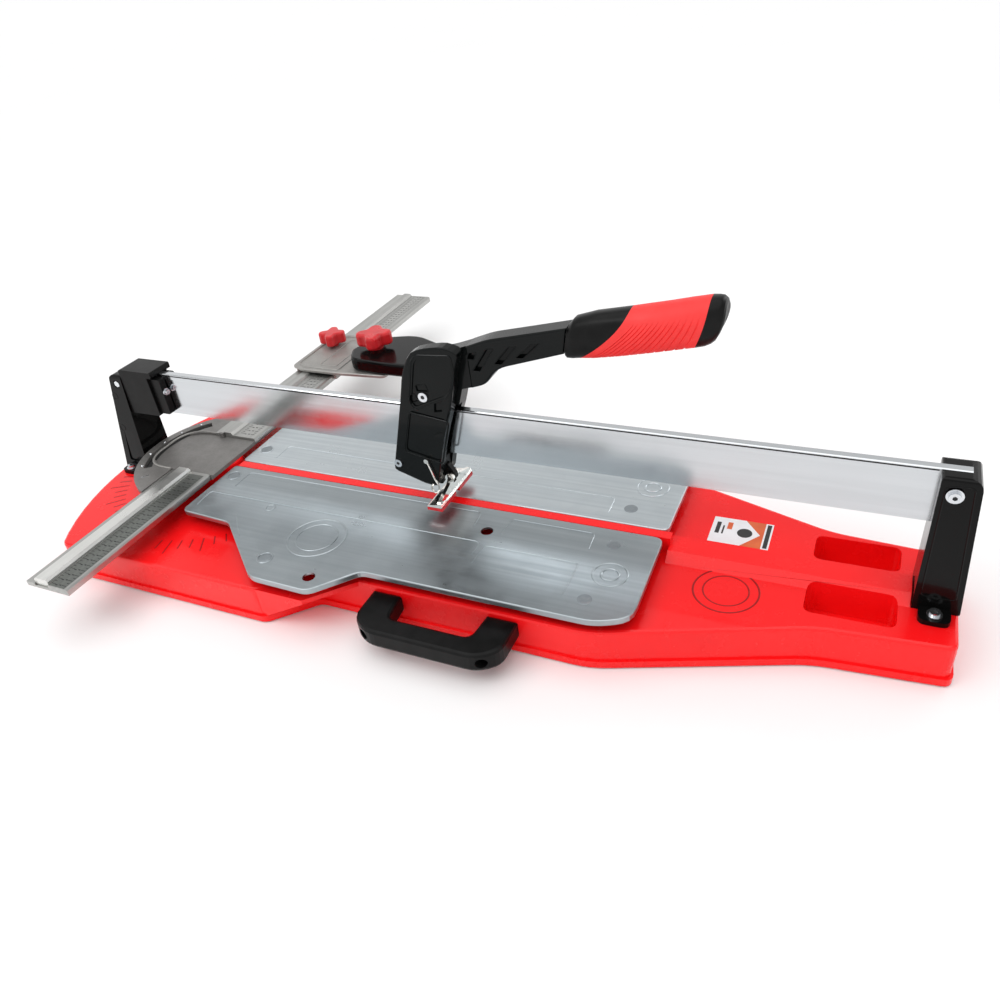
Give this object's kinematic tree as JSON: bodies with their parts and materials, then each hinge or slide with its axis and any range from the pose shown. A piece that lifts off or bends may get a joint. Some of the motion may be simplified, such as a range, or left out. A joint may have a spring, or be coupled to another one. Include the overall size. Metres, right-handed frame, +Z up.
{
  "type": "tile cutter",
  "caption": "Manual tile cutter with a guide rail, sliding scoring head with lever, sprung steel tables, swinging ruler with side stop, and carry handle.",
  "frame": {"origin": "centre of the footprint box, on the floor", "axes": "+X along the cut towards the narrow end, +Y to the rear along the ruler, +Z up"},
  "size_m": [1.175, 0.945, 0.374],
  "materials": {
    "red_paint": "gloss powder coat",
    "rubber": "matt moulded",
    "black_paint": "satin powder coat",
    "black_plastic": "fine moulded texture",
    "rail_steel": "polished plated steel",
    "zinc": "zinc plated",
    "carbide": "ground",
    "galvanised_steel": "galvanised sheet",
    "cast_grey": "die cast, satin",
    "aluminium": "anodised extrusion",
    "red_plastic": "semi-gloss moulded",
    "grip_rubber": "soft moulded grip",
    "chrome": "bright plated"
  },
  "bodies": {
    "base": {"base_shell": "red_paint", "rubber_foot_1": "rubber", "rubber_foot_2": "rubber", "rubber_foot_3": "rubber", "rubber_foot_4": "rubber", "right_tower": "black_paint", "left_tower": "black_paint", "guide_rail": "rail_steel", "guide_clamp": "black_plastic", "right_foot_screw": "zinc", "right_foot_screw_rear": "zinc", "left_foot_screw": "zinc", "right_top_screw": "zinc", "left_top_bolt": "zinc", "clamp_screw": "zinc", "carry_handle": "black_plastic", "handle_screw_1": "zinc", "handle_screw_2": "zinc", "front_table_spring_1": "rubber", "front_table_spring_2": "rubber", "front_table_spring_3": "rubber", "front_table_spring_4": "rubber", "rear_table_spring_1": "rubber", "rear_table_spring_2": "rubber", "rear_table_spring_3": "rubber", "rear_table_spring_4": "rubber"},
    "front_table": {"front_table": "galvanised_steel"},
    "rear_table": {"rear_table": "galvanised_steel"},
    "protractor": {"protractor": "cast_grey", "front_ruler": "aluminium", "rear_ruler": "aluminium"},
    "ruler_extension": {"ruler_extension": "aluminium"},
    "stop_carriage": {"stop_carriage": "cast_grey"},
    "carriage_knob": {"carriage_knob": "red_plastic"},
    "swing_arm": {"swing_arm": "black_paint"},
    "arm_knob": {"arm_knob": "red_plastic"},
    "slider": {"slider_block": "black_plastic", "pivot_pin": "zinc"},
    "lever": {"head_front_cover": "black_paint", "head_rear_cover": "black_paint", "lever_arm": "black_paint", "grip_core": "black_plastic", "grip_sleeve": "grip_rubber", "grip_end_cap": "black_plastic", "pivot_screw": "zinc", "lower_screw": "zinc", "wheel_holder": "black_plastic", "wheel_axle": "zinc", "foot_pin": "zinc"},
    "scoring_wheel": {"scoring_wheel": "carbide"},
    "breaker_foot": {"breaker_foot": "chrome", "front_foot_pad": "red_plastic", "rear_foot_pad": "red_plastic"},
    "retaining_hook": {"retaining_hook": "chrome"}
  },
  "joints": [
    {"name": "head_slide", "type": "slide", "parent": "base", "child": "slider", "axis": [1, 0, 0], "range_m": [-0.285, 0.49]},
    {"name": "lever_pivot", "type": "hinge", "parent": "slider", "child": "lever", "pos_m": [-0.0155, -0.1575, 0.239], "axis": [0, 1, 0], "range_deg": [-12, 8]},
    {"name": "wheel_spin", "type": "hinge", "parent": "lever", "child": "scoring_wheel", "pos_m": [-0.0295, -0.1575, 0.109], "axis": [0, 1, 0], "continuous": true},
    {"name": "foot_swing", "type": "hinge", "parent": "lever", "child": "breaker_foot", "pos_m": [-0.008, -0.1575, 0.114], "axis": [0, 1, 0], "range_deg": [-35, 0]},
    {"name": "hook_swing", "type": "hinge", "parent": "lever", "child": "retaining_hook", "pos_m": [-0.0245, -0.187, 0.15], "axis": [0, 1, 0], "range_deg": [0, 40]},
    {"name": "front_table_sink", "type": "slide", "parent": "base", "child": "front_table", "axis": [0, 0, 1], "range_m": [-0.003, 0], "stiffness_N_per_m": 20000, "springref_m": 0.004, "deforming": ["front_table_spring_1", "front_table_spring_2", "front_table_spring_3", "front_table_spring_4"]},
    {"name": "rear_table_sink", "type": "slide", "parent": "base", "child": "rear_table", "axis": [0, 0, 1], "range_m": [-0.003, 0], "stiffness_N_per_m": 20000, "springref_m": 0.004, "deforming": ["rear_table_spring_1", "rear_table_spring_2", "rear_table_spring_3", "rear_table_spring_4"]},
    {"name": "protractor_swing", "type": "hinge", "parent": "base", "child": "protractor", "pos_m": [-0.4075, -0.1575, 0.08], "axis": [0, 0, 1], "range_deg": [-20, 45]},
    {"name": "extension_slide", "type": "slide", "parent": "protractor", "child": "ruler_extension", "axis": [0, -1, 0], "range_m": [0, 0.18]},
    {"name": "stop_slide", "type": "slide", "parent": "protractor", "child": "stop_carriage", "axis": [0, 1, 0], "range_m": [-0.1, 0.19]},
    {"name": "carriage_knob_turn", "type": "hinge", "parent": "stop_carriage", "child": "carriage_knob", "pos_m": [-0.4355, 0.2055, 0.11], "axis": [0, 0, 1], "continuous": true},
    {"name": "arm_swing", "type": "hinge", "parent": "stop_carriage", "child": "swing_arm", "pos_m": [-0.3155, 0.1645, 0.108], "axis": [0, 0, 1], "range_deg": [0, 60]},
    {"name": "arm_knob_turn", "type": "hinge", "parent": "swing_arm", "child": "arm_knob", "pos_m": [-0.3155, 0.1645, 0.135], "axis": [0, 0, 1], "continuous": true}
  ]
}
